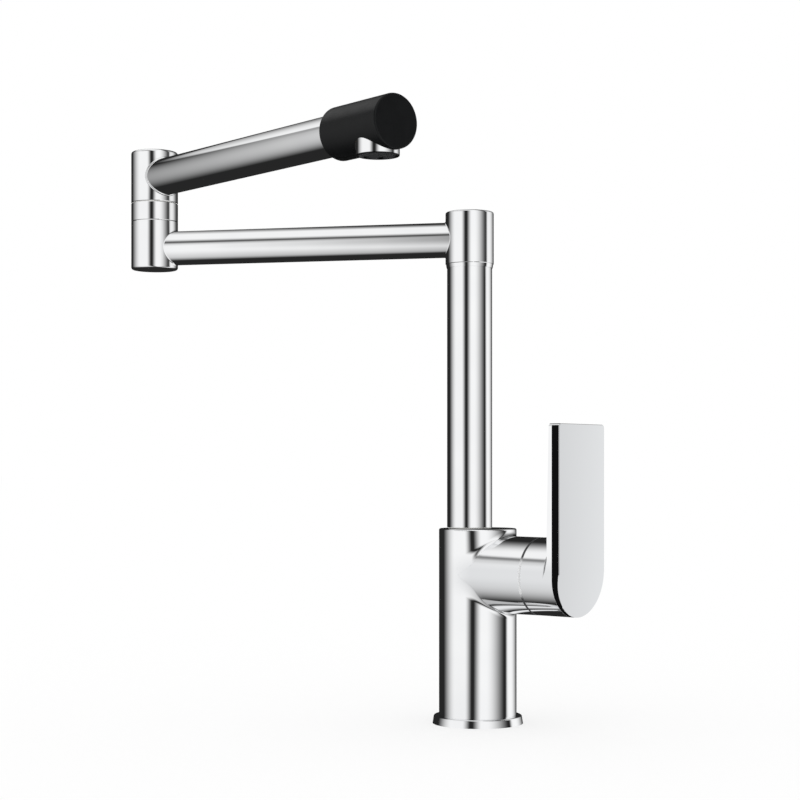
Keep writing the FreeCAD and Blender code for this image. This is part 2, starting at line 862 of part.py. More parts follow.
def lower_knuckle():
    knuckle = turned([
        (0, lower_knuckle_bottom_z),
        (knuckle_r, lower_knuckle_bottom_z, knuckle_edge_round),
        (knuckle_r, ring_bottom_z - seam_chamfer),
        (knuckle_r - seam_chamfer, ring_bottom_z),
        (0, ring_bottom_z),
    ], hinge_axis)
    chamber = turned([
        (0, lower_knuckle_bottom_z + knuckle_floor),
        (knuckle_chamber_r, lower_knuckle_bottom_z + knuckle_floor),
        (knuckle_chamber_r, skirt_bottom_z - loose_gap),
        (ring_thread_r, skirt_bottom_z - loose_gap),
        (ring_thread_r, ring_bottom_z),
        (0, ring_bottom_z),
    ], hinge_axis)
    centre = on_axis(hinge_axis, lower_arm_z)
    to_arm = lower_dir * -1
    knuckle = with_arm_joint(knuckle, knuckle_r, lower_arm_r, centre, to_arm)
    socket = arm_socket(knuckle_r, lower_arm_r, centre, to_arm, knuckle_arm_stop)
    return cut_all(knuckle, [chamber, socket])


def swivel_ring():
    return turned([
        (ring_bore_r, skirt_bottom_z),
        (ring_thread_r - static_gap, skirt_bottom_z),
        (ring_thread_r - static_gap, ring_bottom_z),
        (knuckle_r - seam_chamfer, ring_bottom_z),
        (knuckle_r, ring_bottom_z + seam_chamfer),
        (knuckle_r, ring_top_z - seam_chamfer),
        (knuckle_r - seam_chamfer, ring_top_z),
        (ring_bore_r, ring_top_z),
    ], hinge_axis)


def pivot_seal_centres():
    return [
        on_axis(hinge_axis, ring_bottom_z + ring_seal_inset),
        on_axis(hinge_axis, ring_top_z - ring_seal_inset),
    ]


def knuckle_spigot():
    flange_bottom_z = pivot_flange_top_z - pivot_flange_thickness
    pivot = turned([
        (pivot_bore_r, flange_bottom_z),
        (pivot_flange_r, flange_bottom_z),
        (pivot_flange_r, pivot_flange_top_z),
        (pivot_r, pivot_flange_top_z),
        (pivot_r, pivot_top_z),
        (pivot_bore_r, pivot_top_z),
    ], hinge_axis)
    return cut_all(pivot, [o_ring_groove(ring_bore_r, centre, UP) for centre in pivot_seal_centres()])


def spigot_o_rings():
    return Part.makeCompound([o_ring(ring_bore_r, centre, UP) for centre in pivot_seal_centres()])


def spigot_washer():
    bottom = on_axis(hinge_axis, pivot_flange_top_z + slip_gap)
    return pipe(pivot_flange_r, pivot_r + static_gap, bottom, bottom + UP * pivot_washer_thickness)


def knuckle_slide_washer():
    bottom = on_axis(hinge_axis, ring_top_z + slip_gap)
    outer_r = knuckle_r - knuckle_washer_inset
    return pipe(outer_r, pivot_r + static_gap, bottom, bottom + UP * knuckle_washer_thickness)


def upper_knuckle():
    knuckle = turned([
        (0, upper_knuckle_bottom_z),
        (knuckle_r - seam_chamfer, upper_knuckle_bottom_z),
        (knuckle_r, upper_knuckle_bottom_z + seam_chamfer),
        (knuckle_r, upper_knuckle_top_z, knuckle_edge_round),
        (0, upper_knuckle_top_z),
    ], hinge_axis)
    chamber = turned([
        (0, upper_knuckle_bottom_z),
        (pivot_r + static_gap, upper_knuckle_bottom_z),
        (pivot_r + static_gap, pivot_top_z),
        (knuckle_chamber_r, pivot_top_z),
        (knuckle_chamber_r, upper_knuckle_top_z - knuckle_floor),
        (0, upper_knuckle_top_z - knuckle_floor),
    ], hinge_axis)
    centre = on_upper_arm(0)
    knuckle = with_arm_joint(knuckle, knuckle_r, upper_arm_r, centre, upper_dir)
    socket = arm_socket(knuckle_r, upper_arm_r, centre, upper_dir, knuckle_arm_stop)
    return cut_all(knuckle, [chamber, socket])


def upper_arm():
    """Tube from the upper knuckle to the spray head, its inner end shaped round the knuckle's bore."""
    tube = pipe(
        upper_arm_r,
        upper_arm_r - upper_arm_wall,
        on_upper_arm(knuckle_arm_stop),
        on_upper_arm(head_start - loose_gap),
    )
    reach = UP * (upper_arm_r + cut_margin)
    return tube.cut(rod(knuckle_chamber_r, on_upper_arm(0) - reach, on_upper_arm(0) + reach))


def head_spigot():
    start = on_upper_arm(head_start - loose_gap - journal_grip)
    end = on_upper_arm(journal_end - loose_gap)
    cutters = [
        rod(journal_bore_r, start, end),
        lock_groove(journal_r, on_upper_arm(head_lock_s), upper_dir),
        o_ring_groove(journal_hole_r, on_upper_arm(head_seal_s), upper_dir),
    ]
    return cut_all(rod(journal_r, start, end), cutters)


def head_o_ring():
    return o_ring(journal_hole_r, on_upper_arm(head_seal_s), upper_dir)


def head_lock_side():
    """Level direction from the upper arm's axis to the head's lock screw, on the arm's left."""
    return UP.cross(upper_dir)


def nozzle_axis():
    return on_upper_arm(nozzle_s)


def head_shell():
    shell = turned([
        (journal_hole_r, head_start),
        (head_r, head_start, head_edge_round),
        (head_r, head_end, head_edge_round),
        (0, head_end),
        (0, head_end - head_wall),
        (head_r - head_wall, head_end - head_wall),
        (head_r - head_wall, journal_end),
        (journal_hole_r, journal_end),
    ], on_upper_arm(0), upper_dir)
    below = on_axis(nozzle_axis(), upper_arm_z - head_r - cut_margin)
    cutters = [
        rod(nozzle_r + static_gap, below, on_axis(nozzle_axis(), nozzle_top_z)),
        rod(nozzle_r + mouth_gap, below, on_axis(nozzle_axis(), mouth_top_z)),
        lock_screw_hole(head_r, on_upper_arm(head_lock_s), head_lock_side()),
    ]
    return cut_all(shell, cutters)


def head_retaining_screw():
    return lock_screw(journal_r, journal_hole_r, head_r, on_upper_arm(head_lock_s), head_lock_side())


def nozzle_collar():
    return turned([
        (nozzle_bore_r, nozzle_bottom_z, nozzle_edge_round),
        (nozzle_r, nozzle_bottom_z, nozzle_edge_round),
        (nozzle_r, nozzle_top_z),
        (nozzle_bore_r, nozzle_top_z),
    ], on_axis(nozzle_axis(), 0))


def aerator_insert():
    """Stream former with a dished face and a raised centre."""
    return turned([
        (0, aerator_bottom_z),
        (aerator_hub_r, aerator_bottom_z),
        (aerator_hub_r, aerator_bottom_z + aerator_dish),
        (aerator_r - aerator_rim, aerator_bottom_z + aerator_dish),
        (aerator_r - aerator_rim, aerator_bottom_z),
        (aerator_r, aerator_bottom_z),
        (aerator_r, aerator_top_z),
        (0, aerator_top_z),
    ], on_axis(nozzle_axis(), 0))


def aerator_washer():
    bottom = on_axis(nozzle_axis(), aerator_top_z)
    return pipe(aerator_r, aerator_r - aerator_washer_width, bottom, bottom + UP * aerator_washer_height)


PIECES = [
    base_flange,
    base_gasket,
    tap_body,
    inlet_block,
    inlet_seal,
    riser_retaining_screw,
    cartridge_housing,
    cartridge_base,
    port_seals,
    fixed_ceramic_disc,
    cartridge_nut,
    bonnet_dome,
    cartridge_rotor,
    spindle_pin,
    disc_carrier,
    moving_ceramic_disc,
    handle,
    handle_inlay,
    lever_spindle,
    handle_grub_screw,
    grub_screw_plug,
    riser_tube,
    riser_spigot,
    riser_o_rings,
    riser_slide_ring,
    top_collar,
    lower_arm,
    lower_knuckle,
    swivel_ring,
    upper_knuckle,
    knuckle_spigot,
    spigot_o_rings,
    spigot_washer,
    knuckle_slide_washer,
    upper_arm,
    head_spigot,
    head_o_ring,
    head_shell,
    head_retaining_screw,
    nozzle_collar,
    aerator_insert,
    aerator_washer,
]

os.makedirs("parts", exist_ok=True)
for make_piece in PIECES:
    shape = make_piece()
    name = make_piece.__name__
    if not shape.isValid():
        raise ValueError(name + " is not a valid solid")
    shape.exportStep("parts/" + name + ".step")
    print(name, len(shape.Solids), "solid,", round(shape.Volume), "cubic mm")
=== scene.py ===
import json
import math

import bmesh
import bpy
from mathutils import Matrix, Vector


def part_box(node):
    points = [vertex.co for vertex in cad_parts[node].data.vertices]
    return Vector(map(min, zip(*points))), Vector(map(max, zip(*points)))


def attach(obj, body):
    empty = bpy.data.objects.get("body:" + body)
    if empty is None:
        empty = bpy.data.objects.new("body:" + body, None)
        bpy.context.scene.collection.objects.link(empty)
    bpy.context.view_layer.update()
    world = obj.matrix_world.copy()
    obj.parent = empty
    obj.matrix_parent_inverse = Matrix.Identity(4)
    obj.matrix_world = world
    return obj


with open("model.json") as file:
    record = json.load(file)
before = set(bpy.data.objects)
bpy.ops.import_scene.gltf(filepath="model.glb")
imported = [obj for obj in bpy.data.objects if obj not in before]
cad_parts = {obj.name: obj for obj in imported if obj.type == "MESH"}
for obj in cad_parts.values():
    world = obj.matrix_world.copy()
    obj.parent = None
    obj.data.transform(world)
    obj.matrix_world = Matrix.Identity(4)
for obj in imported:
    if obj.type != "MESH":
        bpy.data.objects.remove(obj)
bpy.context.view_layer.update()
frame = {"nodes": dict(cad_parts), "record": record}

bl_info = {
    "name": "Folding kitchen faucet",
    "version": (1, 0, 0),
    "blender": (4, 5, 0),
    "location": "3D View > Sidebar > Faucet",
    "description": "Finishes, small details and studio of a folding kitchen faucet",
    "category": "Object",
}

JOINTS = {row["name"]: row for row in frame["record"]["behaviour"]["joints"]}
MM = 0.001

# Relief in the finishes: how strong the plating's waves are, and how deep waves and grain go.
COLUMN_WAVES = 0.02
FITTING_WAVES = 0.01
WAVE_DEPTH = 0.2 * MM
GRAIN_DEPTH = 0.05 * MM

# Roughness that polishing marks add, and that sheen and tool rings add or take away.
MARKS_SPREAD = 0.02
SHEEN_SPREAD = 0.03
RINGS_SPREAD = 0.06

# Start and end of each change over a finish.
NOISE_MIDDLE = (0.35, 0.65)  # of a noise's own values
# The flank band and run place painted shade along the branch's sides.
FLANK_SHADE_BAND = (4 * MM, 13 * MM)  # above or below the branch's axis
FLANK_SHADE_RUN = (-6 * MM, 13 * MM)  # along X, from the column's axis
# The face's tilt and sides place a painted reflection on the handle's face.
FACE_TILT = (0.90, 0.97)  # X part of the normal, on the handle's face
FACE_REFLECTION_SIDES = (-23 * MM, 23 * MM)  # along Y, over the handle's face
LEAN_RUN = (15 * MM, 150 * MM)  # along the lower arm, from the riser's axis
# The dome's band places painted shade on the seam's dome.
DOME_SHADE_BAND = (9 * MM, 12.5 * MM)  # above or below the branch's axis
# The bore's depth and the lip's height place painted shade in the outlet ring.
BORE_SHADE_DEPTH = (0.6 * MM, 0.5 * MM)  # inwards from the outlet ring's outside
LIP_SHADE_HEIGHT = (0.45 * MM, 0.6 * MM)  # above the outlet ring's lower end

# The dome in the handle's seam is satin, and only partly metallic.
DOME_DULLING = 0.42
DOME_METAL = 0.25

# The branch's blend: rounds in which a section's place and the branch's radius there settle.
BLEND_ROUNDS = 4

# The stream former's web.
WEB_HUB = 2 * MM  # radius where the fins start
WEB_RIM_GAP = 1.5 * MM  # from the insert's outside to where the fins end
WEB_TOP = 0.8 * MM  # above the insert's lower end
WEB_OVERLAP = 0.1 * MM  # how far a fin runs on at each end
WEB_RING_STEPS = 64

# The studio.
FLOOR_SEGMENTS = 96
FLOOR_GLOW = 0.6  # share of plain white in what the camera sees of the floor
TENT_SUBDIVISIONS = 5
SENSOR_WIDTH = 36  # millimetres
CLIP_END = 200
SEEN_IN_GLOSS = ("tap_body", "base_flange", "branch_blend")


class FaucetFinishes(bpy.types.PropertyGroup):
    """Colours and sheen of the faucet's finishes, with painted shade and a painted reflection among
    them
    """

    chrome: bpy.props.FloatVectorProperty(
        name="Chrome", description="Colour of the polished plating",
        subtype="COLOR", size=4, min=0, max=1, default=(0.92, 0.925, 0.93, 1))
    chrome_shade: bpy.props.FloatVectorProperty(
        name="Chrome shade", description="Colour of the plating where it is a little dull",
        subtype="COLOR", size=4, min=0, max=1, default=(0.885, 0.89, 0.90, 1))
    chrome_roughness: bpy.props.FloatProperty(
        name="Chrome roughness", description="Roughness of clean plating",
        subtype="FACTOR", min=0, max=1, default=0.02)
    # The two face colours are a painted reflection: the handle's face darker towards the front and
    # lighter towards the rear.
    face_near_painted_reflection: bpy.props.FloatVectorProperty(
        name="Face, front side", description="Colour of the handle's face towards the front",
        subtype="COLOR", size=4, min=0, max=1, default=(0.640, 0.650, 0.662, 1))
    face_far_painted_reflection: bpy.props.FloatVectorProperty(
        name="Face, rear side", description="Colour of the handle's face towards the rear",
        subtype="COLOR", size=4, min=0, max=1, default=(0.728, 0.740, 0.752, 1))
    # The branch flank colour is painted shade: a darker band laid along the branch's sides and the
    # handle's hub.
    flank: bpy.props.FloatVectorProperty(
        name="Branch flank", description="Colour of the painted_darker band along the branch and its hub",
        subtype="COLOR", size=4, min=0, max=1, default=(0.745, 0.755, 0.768, 1))
    # Painted shade on the seam's dome, towards its top and bottom, where the gap is dark.
    dome_painted_shade: bpy.props.FloatVectorProperty(
        name="Dome shade", description="Colour of the seam's dome towards its top and bottom",
        subtype="COLOR", size=4, min=0, max=1, default=(0.06, 0.061, 0.063, 1))
    # The outlet colour is painted shade: black laid in the ring's bore and on its lower lip.
    bore_and_lip_painted_shade: bpy.props.FloatVectorProperty(
        name="Outlet lining", description="Colour of the outlet ring's bore and lower lip",
        subtype="COLOR", size=4, min=0, max=1, default=(0.03, 0.03, 0.032, 1))
    arm_lean: bpy.props.FloatProperty(
        name="Lower arm's lean", description="Lean of the lower arm's shading beside the collar",
        subtype="ANGLE", unit="ROTATION", default=math.radians(2.8))
    head_black: bpy.props.FloatVectorProperty(
        name="Head black", description="Colour of the outlet head's moulding",
        subtype="COLOR", size=4, min=0, max=1, default=(0.0047, 0.0051, 0.0056, 1))
    strip_black: bpy.props.FloatVectorProperty(
        name="Strip black", description="Colour of the strip in the handle's edge",
        subtype="COLOR", size=4, min=0, max=1, default=(0.0018, 0.0018, 0.002, 1))
    insert_grey: bpy.props.FloatVectorProperty(
        name="Insert grey", description="Colour of the stream former and the screw's plug",
        subtype="COLOR", size=4, min=0, max=1, default=(0.03, 0.031, 0.033, 1))
    white_plastic: bpy.props.FloatVectorProperty(
        name="White plastic", description="Colour of the cartridge's shell and the slide rings",
        subtype="COLOR", size=4, min=0, max=1, default=(0.80, 0.80, 0.77, 1))
    ceramic: bpy.props.FloatVectorProperty(
        name="Ceramic", description="Colour of the lapped valve discs",
        subtype="COLOR", size=4, min=0, max=1, default=(0.84, 0.82, 0.76, 1))
    brass: bpy.props.FloatVectorProperty(
        name="Brass", description="Colour of the turned fittings",
        subtype="COLOR", size=4, min=0, max=1, default=(0.72, 0.53, 0.25, 1))
    steel: bpy.props.FloatVectorProperty(
        name="Steel", description="Colour of the screws, the spindle and its pin",
        subtype="COLOR", size=4, min=0, max=1, default=(0.56, 0.57, 0.58, 1))
    rubber: bpy.props.FloatVectorProperty(
        name="Rubber", description="Colour of the seals and the gasket",
        subtype="COLOR", size=4, min=0, max=1, default=(0.016, 0.016, 0.017, 1))


class FaucetBlend(bpy.types.PropertyGroup):
    """Polished blend between the column and its side branch"""

    column_radius: bpy.props.FloatProperty(
        name="Column radius", description="Radius of the column",
        subtype="DISTANCE", unit="LENGTH", min=0.001, default=24 * MM)
    root_radius: bpy.props.FloatProperty(
        name="Root radius", description="Radius of the branch's cone on the column's axis",
        subtype="DISTANCE", unit="LENGTH", min=0.001, default=23.9 * MM)
    end_radius: bpy.props.FloatProperty(
        name="End radius", description="Radius of the branch's cone at the handle",
        subtype="DISTANCE", unit="LENGTH", min=0.001, default=23.5 * MM)
    branch_length: bpy.props.FloatProperty(
        name="Branch length", description="Length of the cone from the column's axis",
        subtype="DISTANCE", unit="LENGTH", min=0.001, default=48.13 * MM)
    branch_height: bpy.props.FloatProperty(
        name="Branch height", description="Height of the branch's axis above the deck",
        subtype="DISTANCE", unit="LENGTH", min=0.001, default=92.5 * MM)
    crown_radius: bpy.props.FloatProperty(
        name="Crown radius", description="Blend radius above and below the branch",
        subtype="DISTANCE", unit="LENGTH", min=0.0001, default=3.3 * MM)
    flank_radius: bpy.props.FloatProperty(
        name="Flank radius", description="Blend radius at the branch's sides",
        subtype="DISTANCE", unit="LENGTH", min=0.0001, default=30 * MM)
    flank_power: bpy.props.IntProperty(
        name="Flank power", description="How closely the wide blend keeps to the branch's sides",
        min=1, max=12, default=6)
    depth: bpy.props.FloatProperty(
        name="Depth", description="How far the blend's hidden back reaches into the metal",
        subtype="DISTANCE", unit="LENGTH", min=0.0001, default=1.5 * MM)
    stations: bpy.props.IntProperty(
        name="Stations", description="Sections round the branch", min=24, max=720, default=240)
    steps: bpy.props.IntProperty(
        name="Steps", description="Faces across one section", min=4, max=64, default=28)


class FaucetBead(bpy.types.PropertyGroup):
    """Polished bead round the upper arm's root"""

    radius: bpy.props.FloatProperty(
        name="Bead radius", description="Radius of the bead's round section",
        subtype="DISTANCE", unit="LENGTH", min=0.0001, default=0.85 * MM)
    stations: bpy.props.IntProperty(
        name="Stations", description="Sections round the arm", min=24, max=360, default=120)
    steps: bpy.props.IntProperty(
        name="Steps", description="Faces round one section", min=6, max=48, default=16)


class FaucetDetails(bpy.types.PropertyGroup):
    """Sizes of the stream former's web"""

    fin_count: bpy.props.IntProperty(
        name="Fins", description="Radial fins in the stream former's face",
        min=6, max=48, default=24)
    fin_thickness: bpy.props.FloatProperty(
        name="Fin thickness", description="Thickness of one fin",
        subtype="DISTANCE", unit="LENGTH", min=0.0001, default=0.35 * MM)
    fin_height: bpy.props.FloatProperty(
        name="Fin height", description="Height of the fins and rings",
        subtype="DISTANCE", unit="LENGTH", min=0.0001, default=0.7 * MM)
    ring_count: bpy.props.IntProperty(
        name="Rings", description="Round walls between the hub and the rim",
        min=1, max=6, default=3)


class FaucetStudio(bpy.types.PropertyGroup):
    """Camera, studio tent and floor"""

    camera_place: bpy.props.FloatVectorProperty(
        name="Camera", description="Where the camera stands",
        subtype="TRANSLATION", unit="LENGTH", size=3, default=(0.67618, -0.87183, 0.1544))
    camera_turn: bpy.props.FloatProperty(
        name="Camera turn", description="Heading of the level camera, from +Y towards -X",
        subtype="ANGLE", unit="ROTATION", default=math.radians(40.3))
    lens: bpy.props.FloatProperty(
        name="Lens", description="Focal length on a 36 mm sensor",
        subtype="DISTANCE_CAMERA", unit="CAMERA", min=10, default=80.02)
    rise: bpy.props.FloatProperty(
        name="Lens rise", description="Upward shift of the level camera's picture",
        default=0.0919)
    tent_centre: bpy.props.FloatVectorProperty(
        name="Tent centre", description="Middle of the studio tent that polished surfaces show",
        subtype="TRANSLATION", unit="LENGTH", size=3, default=(0.119, 0.01, 0.06))
    tent_radius: bpy.props.FloatProperty(
        name="Tent radius", description="Radius of the studio tent",
        subtype="DISTANCE", unit="LENGTH", min=0.4, default=1.05)
    floor_radius: bpy.props.FloatProperty(
        name="Floor radius", description="Radius of the pale floor",
        subtype="DISTANCE", unit="LENGTH", min=1, default=40)
    floor_colour: bpy.props.FloatVectorProperty(
        name="Floor", description="Colour of the floor",
        subtype="COLOR", size=4, min=0, max=1, default=(1, 1, 1, 1))


def add_node(tree, kind, settings=None, **values):
    """New node with its settings, and its input sockets' values by name."""
    node = tree.nodes.new(kind)
    for name, value in (settings or {}).items():
        setattr(node, name, value)
    for name, value in values.items():
        node.inputs[name.replace("_", " ")].default_value = value
    return node


def feed(tree, socket, value):
    """Links an input to another socket, or sets its value."""
    if isinstance(value, bpy.types.NodeSocket):
        tree.links.new(value, socket)
    else:
        socket.default_value = value


def math_node(tree, operation, *values):
    """Math node fed with sockets and numbers; returns its result."""
    node = add_node(tree, "ShaderNodeMath", {"operation": operation})
    for socket, value in zip(node.inputs, values):
        feed(tree, socket, value)
    return node.outputs["Value"]


def vector_node(tree, operation, *values):
    """Vector Math node fed with sockets and vectors; returns its result."""
    node = add_node(tree, "ShaderNodeVectorMath", {"operation": operation})
    for socket, value in zip(node.inputs, values):
        feed(tree, socket, value)
    gives_number = operation in ("DOT_PRODUCT", "LENGTH")
    return node.outputs["Value" if gives_number else "Vector"]


def coordinates(tree, kind="Object"):
    """The object's own coordinates or normal."""
    return add_node(tree, "ShaderNodeTexCoord").outputs[kind]


def place(tree, kind="Object"):
    """The three parts of the object's own coordinates or normal."""
    parts = add_node(tree, "ShaderNodeSeparateXYZ")
    tree.links.new(coordinates(tree, kind), parts.inputs["Vector"])
    return parts.outputs


def noise(tree, scale, detail=2.0, stretch=(1, 1, 1)):
    """Noise over the object's own coordinates; returns its factor."""
    mapping = add_node(tree, "ShaderNodeMapping", Scale=stretch)
    texture = add_node(tree, "ShaderNodeTexNoise", Scale=scale, Detail=detail, Roughness=0.5)
    tree.links.new(coordinates(tree), mapping.inputs["Vector"])
    tree.links.new(mapping.outputs["Vector"], texture.inputs["Vector"])
    return texture.outputs["Fac"]


def ramp_to(tree, source, low, high, run=NOISE_MIDDLE):
    """Goes from low to high while the source goes through its run."""
    start, end = run
    ramp = add_node(
        tree, "ShaderNodeMapRange", From_Min=start, From_Max=end, To_Min=low, To_Max=high)
    tree.links.new(source, ramp.inputs["Value"])
    return ramp.outputs["Result"]


def blend_colours(tree, factor, first, second):
    """Mixes two colours, each a socket or a value, by a factor."""
    mix = add_node(tree, "ShaderNodeMix", {"data_type": "RGBA"})
    tree.links.new(factor, mix.inputs["Factor"])
    sockets = [socket for socket in mix.inputs if socket.type == "RGBA"]
    for socket, colour in zip(sockets, (first, second)):
        feed(tree, socket, colour)
    return next(socket for socket in mix.outputs if socket.type == "RGBA")


def recolour(material, mask, colour):
    """Lays a second colour over a finish where the mask is 1."""
    tree = material.node_tree
    base = tree.nodes["Principled BSDF"].inputs["Base Color"]
    mixed = blend_colours(tree, mask, base.links[0].from_socket, colour)
    tree.links.new(mixed, base)


def bump(tree, shader, height, strength, depth):
    """Small relief on a shader."""
    node = add_node(tree, "ShaderNodeBump", Strength=strength, Distance=depth)
    tree.links.new(height, node.inputs["Height"])
    tree.links.new(node.outputs["Normal"], shader.inputs["Normal"])


def shaded(colour, by):
    """A colour made darker or lighter."""
    return (colour[0] * by, colour[1] * by, colour[2] * by, 1)


def new_finish(name):
    """New material with a Principled shader; returns material, tree and shader."""
    material = bpy.data.materials.new(name)
    material.use_nodes = True
    tree = material.node_tree
    return material, tree, tree.nodes["Principled BSDF"]


def near_branch_axis(tree, height, band):
    """Mask that fades with the distance above or below the branch's axis."""
    offset = math_node(tree, "SUBTRACT", place(tree)["Z"], height)
    return ramp_to(tree, math_node(tree, "ABSOLUTE", offset), 1, 0, band)


def chrome_finish(name, finishes, waves, dulling=0.0):
    """Mirror plating: faint dull patches, fine polishing marks and, if any, slight waves."""
    material, tree, shader = new_finish(name)
    shader.inputs["Metallic"].default_value = 1.0
    patches = ramp_to(tree, noise(tree, scale=26, detail=4), 0, 1)
    colour = blend_colours(tree, patches, finishes.chrome, finishes.chrome_shade)
    tree.links.new(colour, shader.inputs["Base Color"])
    marks = noise(tree, scale=420, detail=3, stretch=(1, 1, 0.12))
    clean = finishes.chrome_roughness + dulling
    rough = ramp_to(tree, marks, clean, clean + MARKS_SPREAD)
    tree.links.new(rough, shader.inputs["Roughness"])
    if waves:
        bump(tree, shader, noise(tree, scale=70, detail=1), strength=waves, depth=WAVE_DEPTH)
    return material


def column_finish(name, finishes, height):
    """Plating of the column, with painted shade in a band that runs out along the branch's sides.
    """
    material = chrome_finish(name, finishes, COLUMN_WAVES)
    tree = material.node_tree
    # Painted shade: a darker band above and below the branch's axis, running out along the branch.
    beside = near_branch_axis(tree, height, FLANK_SHADE_BAND)
    along = ramp_to(tree, place(tree)["X"], 0, 1, FLANK_SHADE_RUN)
    recolour(material, math_node(tree, "MULTIPLY", beside, along), finishes.flank)
    return material


def handle_finish(name, finishes, height):
    """Plating of the handle, with painted shade in a band along its hub and a painted reflection on
    its broad outer face, lighter towards the rear.
    """
    material = chrome_finish(name, finishes, waves=0)
    tree = material.node_tree
    # Painted shade in a band along the hub, beside the branch's axis.
    recolour(material, near_branch_axis(tree, height, FLANK_SHADE_BAND), finishes.flank)
    # Painted reflection on the handle's face, graded from front to rear.
    painted_face_mask = ramp_to(tree, place(tree, "Normal")["X"], 0, 1, FACE_TILT)
    across = ramp_to(tree, place(tree)["Y"], 0, 1, FACE_REFLECTION_SIDES)
    face = blend_colours(tree, across, finishes.face_near_painted_reflection, finishes.face_far_painted_reflection)
    recolour(material, painted_face_mask, face)
    return material


def lower_arm_finish(name, finishes):
    """Plating of the lower arm, whose shading leans towards the elbow near the collar."""
    material = chrome_finish(name, finishes, FITTING_WAVES)
    tree = material.node_tree
    root = Vector(JOINTS["riser_swivel"]["pos_m"])
    along = Vector(JOINTS["elbow_swivel"]["pos_m"]) - root
    along.z = 0
    along.normalize()
    reach = vector_node(tree, "DOT_PRODUCT", coordinates(tree), along)
    run = [root.dot(along) + distance for distance in LEAN_RUN]
    lean = ramp_to(tree, reach, math.tan(finishes.arm_lean), 0, run)
    shift = add_node(tree, "ShaderNodeVectorMath", {"operation": "SCALE"}, Vector=along)
    tree.links.new(lean, shift.inputs["Scale"])
    leaning = vector_node(tree, "ADD", coordinates(tree, "Normal"), shift.outputs["Vector"])
    turned = add_node(
        tree, "ShaderNodeVectorTransform",
        {"vector_type": "NORMAL", "convert_from": "OBJECT", "convert_to": "WORLD"})
    tree.links.new(leaning, turned.inputs["Vector"])
    relief = next(node for node in tree.nodes if node.bl_idname == "ShaderNodeBump")
    tree.links.new(turned.outputs["Vector"], relief.inputs["Normal"])
    return material


def dome_finish(name, finishes, height):
    """Satin plating of the dome in the handle's seam, with painted shade towards its top and
    bottom.
    """
    material = chrome_finish(name, finishes, FITTING_WAVES, DOME_DULLING)
    tree = material.node_tree
    tree.nodes["Principled BSDF"].inputs["Metallic"].default_value = DOME_METAL
    # Painted shade: the dome darkens away from the branch's axis.
    side = near_branch_axis(tree, height, DOME_SHADE_BAND)
    recolour(material, math_node(tree, "SUBTRACT", 1, side), finishes.dome_painted_shade)
    return material


def outlet_finish(name, finishes):
    """Plating of the outlet ring, with black painted shade in its bore and on its lower lip."""
    material = chrome_finish(name, finishes, FITTING_WAVES)
    tree = material.node_tree
    low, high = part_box("nozzle_collar")
    axis = ((low.x + high.x) / 2, (low.y + high.y) / 2, 0)
    rim = (high.x - low.x) / 2
    offset = vector_node(tree, "SUBTRACT", coordinates(tree), axis)
    level = vector_node(tree, "MULTIPLY", offset, (1, 1, 0))
    reach = vector_node(tree, "LENGTH", level)
    # Painted shade in black in the bore and on the lower lip.
    bore = ramp_to(tree, reach, 1, 0, [rim - depth for depth in BORE_SHADE_DEPTH])
    lip = ramp_to(tree, place(tree)["Z"], 1, 0, [low.z + height for height in LIP_SHADE_HEIGHT])
    recolour(material, math_node(tree, "MAXIMUM", bore, lip), finishes.bore_and_lip_painted_shade)
    return material


def plastic_finish(name, colour, roughness, grain, specular):
    """Moulded plastic with a fine grain and a slight change of sheen."""
    material, tree, shader = new_finish(name)
    shader.inputs["Specular IOR Level"].default_value = specular
    patches = ramp_to(tree, noise(tree, scale=45, detail=3), 0, 1)
    shade = blend_colours(tree, patches, shaded(colour, by=0.9), shaded(colour, by=1.12))
    tree.links.new(shade, shader.inputs["Base Color"])
    sheen = noise(tree, scale=160, detail=3)
    rough = ramp_to(tree, sheen, roughness - SHEEN_SPREAD, roughness + SHEEN_SPREAD)
    tree.links.new(rough, shader.inputs["Roughness"])
    bump(tree, shader, noise(tree, scale=2600), strength=grain, depth=GRAIN_DEPTH)
    return material


def turned_finish(name, colour, roughness):
    """Turned metal: fine tool rings along the height, and slight tarnish."""
    material, tree, shader = new_finish(name)
    shader.inputs["Metallic"].default_value = 1.0
    tarnish = ramp_to(tree, noise(tree, scale=60, detail=4), 0, 1)
    shade = blend_colours(tree, tarnish, shaded(colour, by=0.86), colour)
    tree.links.new(shade, shader.inputs["Base Color"])
    rings = noise(tree, scale=900, stretch=(0.05, 0.05, 1))
    rough = ramp_to(tree, rings, roughness - RINGS_SPREAD, roughness + RINGS_SPREAD)
    tree.links.new(rough, shader.inputs["Roughness"])
    bump(tree, shader, rings, strength=0.15, depth=GRAIN_DEPTH)
    return material


def ceramic_finish(name, colour):
    """Lapped ceramic with a faint speckle."""
    material, tree, shader = new_finish(name)
    speckle = ramp_to(tree, noise(tree, scale=900, detail=4), 0, 1)
    shade = blend_colours(tree, speckle, shaded(colour, by=0.93), colour)
    tree.links.new(shade, shader.inputs["Base Color"])
    rough = ramp_to(tree, noise(tree, scale=240), low=0.12, high=0.2)
    tree.links.new(rough, shader.inputs["Roughness"])
    return material


def rubber_finish(name, colour):
    """Moulded rubber, matt, with a bloom in places."""
    material, tree, shader = new_finish(name)
    shader.inputs["Specular IOR Level"].default_value = 0.3
    bloom = noise(tree, scale=120, detail=4)
    shade = blend_colours(tree, ramp_to(tree, bloom, 0, 1), colour, shaded(colour, by=1.7))
    tree.links.new(shade, shader.inputs["Base Color"])
    tree.links.new(ramp_to(tree, bloom, low=0.62, high=0.8), shader.inputs["Roughness"])
    bump(tree, shader, noise(tree, scale=1800), strength=0.2, depth=GRAIN_DEPTH)
    return material


